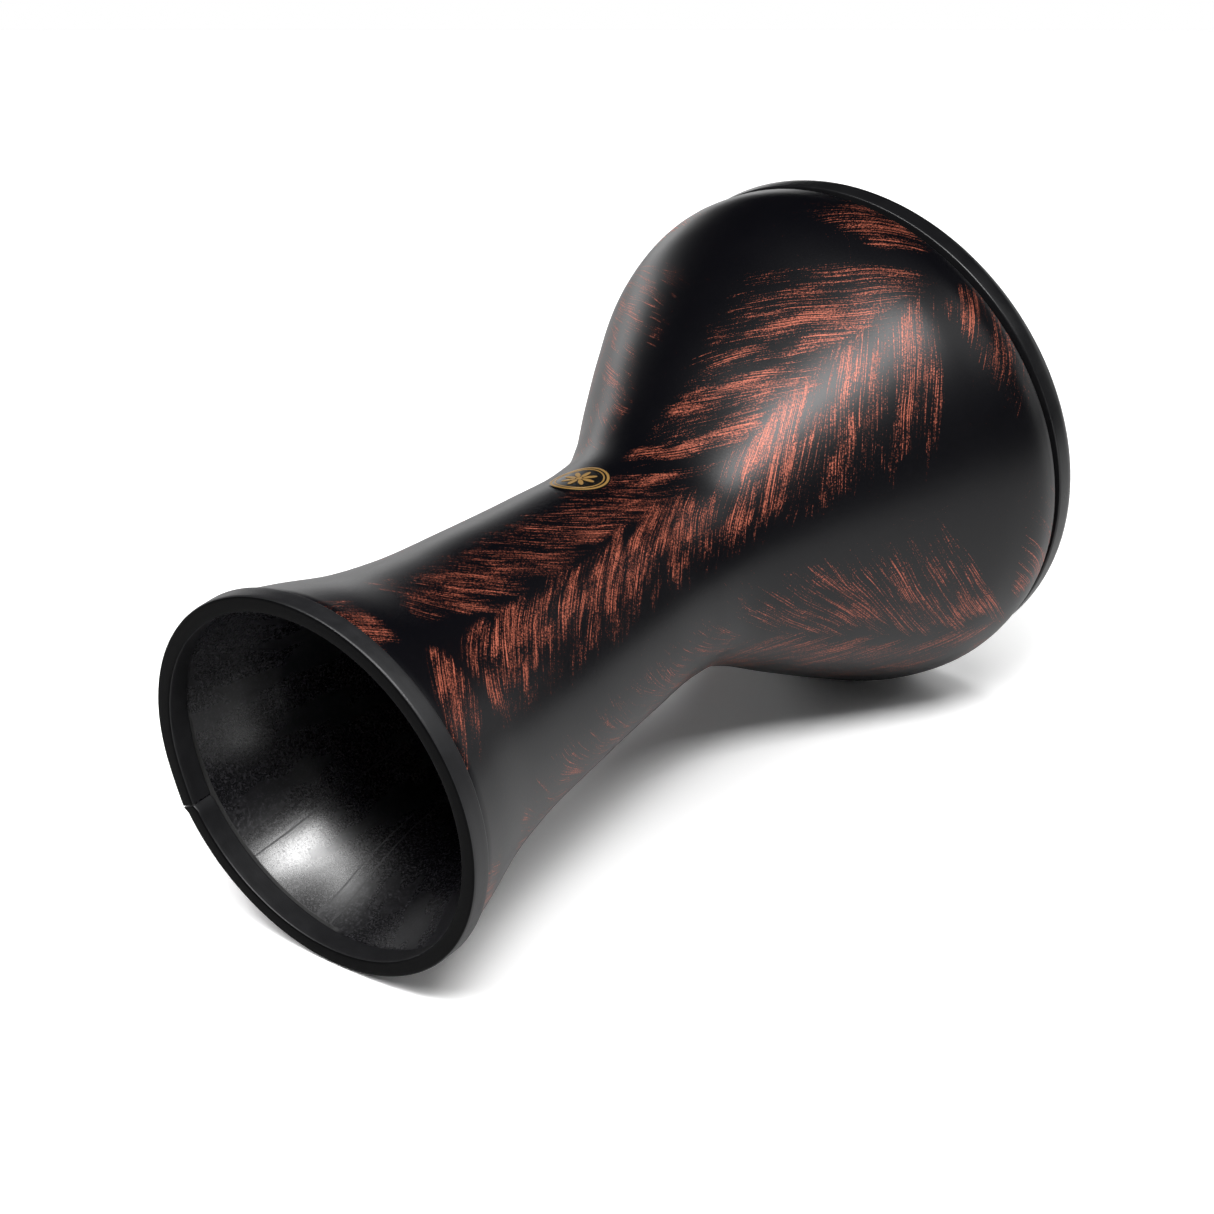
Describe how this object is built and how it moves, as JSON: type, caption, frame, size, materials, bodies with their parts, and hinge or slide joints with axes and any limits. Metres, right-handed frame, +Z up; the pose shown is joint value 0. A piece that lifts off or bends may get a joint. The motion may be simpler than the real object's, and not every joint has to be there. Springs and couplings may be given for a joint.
{
  "type": "goblet drum",
  "caption": "Goblet hand drum with a long flared neck, a round bowl, a rubber foot trim and a round-nosed tuning ring drawn down on the film head by recessed socket screws.",
  "frame": {"origin": "centre of the foot's underside, where the standing drum meets the floor", "axes": "+Z up the drum's axis from the foot to the head; the badge faces between +X and -Y"},
  "size_m": [0.2749, 0.275, 0.436],
  "materials": {
    "shell": "satin black with dry-brushed copper strokes",
    "brass": "turned brass",
    "rubber": "satin rubber",
    "badge": "black field with raised gold rings",
    "film": "frosted film",
    "hoop": "mill finish",
    "resin": "cast resin",
    "ring": "satin black coating",
    "nylon": "natural nylon",
    "screw": "black oxide"
  },
  "bodies": {
    "drum": {"shell": "shell", "threaded_inserts": "brass", "foot_trim": "rubber", "badge": "badge", "head_film": "film", "head_hoop": "hoop", "head_resin": "resin"},
    "tuning_ring": {"tuning_ring": "ring", "screw_washers": "nylon"},
    "tuning_screw_1": {"tuning_screw_1": "screw"},
    "tuning_screw_2": {"tuning_screw_2": "screw"},
    "tuning_screw_3": {"tuning_screw_3": "screw"},
    "tuning_screw_4": {"tuning_screw_4": "screw"},
    "tuning_screw_5": {"tuning_screw_5": "screw"},
    "tuning_screw_6": {"tuning_screw_6": "screw"},
    "tuning_screw_7": {"tuning_screw_7": "screw"},
    "tuning_screw_8": {"tuning_screw_8": "screw"}
  },
  "joints": [
    {"name": "ring_slide", "type": "slide", "parent": "drum", "child": "tuning_ring", "axis": [0, 0, 1], "range_m": [0, 0.004]},
    {"name": "screw_1_turn", "type": "hinge", "parent": "tuning_ring", "child": "tuning_screw_1", "pos_m": [0.11641, 0.04822, 0.429], "axis": [0, 0, 1], "range_deg": [0, 1440]},
    {"name": "screw_2_turn", "type": "hinge", "parent": "tuning_ring", "child": "tuning_screw_2", "pos_m": [0.04822, 0.11641, 0.429], "axis": [0, 0, 1], "range_deg": [0, 1440]},
    {"name": "screw_3_turn", "type": "hinge", "parent": "tuning_ring", "child": "tuning_screw_3", "pos_m": [-0.04822, 0.11641, 0.429], "axis": [0, 0, 1], "range_deg": [0, 1440]},
    {"name": "screw_4_turn", "type": "hinge", "parent": "tuning_ring", "child": "tuning_screw_4", "pos_m": [-0.11641, 0.04822, 0.429], "axis": [0, 0, 1], "range_deg": [0, 1440]},
    {"name": "screw_5_turn", "type": "hinge", "parent": "tuning_ring", "child": "tuning_screw_5", "pos_m": [-0.11641, -0.04822, 0.429], "axis": [0, 0, 1], "range_deg": [0, 1440]},
    {"name": "screw_6_turn", "type": "hinge", "parent": "tuning_ring", "child": "tuning_screw_6", "pos_m": [-0.04822, -0.11641, 0.429], "axis": [0, 0, 1], "range_deg": [0, 1440]},
    {"name": "screw_7_turn", "type": "hinge", "parent": "tuning_ring", "child": "tuning_screw_7", "pos_m": [0.04822, -0.11641, 0.429], "axis": [0, 0, 1], "range_deg": [0, 1440]},
    {"name": "screw_8_turn", "type": "hinge", "parent": "tuning_ring", "child": "tuning_screw_8", "pos_m": [0.11641, -0.04822, 0.429], "axis": [0, 0, 1], "range_deg": [0, 1440]}
  ],
  "couplings": [
    {"joint": "screw_1_turn", "follows": "ring_slide", "rad_per_m": 6283.2},
    {"joint": "screw_2_turn", "follows": "ring_slide", "rad_per_m": 6283.2},
    {"joint": "screw_3_turn", "follows": "ring_slide", "rad_per_m": 6283.2},
    {"joint": "screw_4_turn", "follows": "ring_slide", "rad_per_m": 6283.2},
    {"joint": "screw_5_turn", "follows": "ring_slide", "rad_per_m": 6283.2},
    {"joint": "screw_6_turn", "follows": "ring_slide", "rad_per_m": 6283.2},
    {"joint": "screw_7_turn", "follows": "ring_slide", "rad_per_m": 6283.2},
    {"joint": "screw_8_turn", "follows": "ring_slide", "rad_per_m": 6283.2}
  ]
}
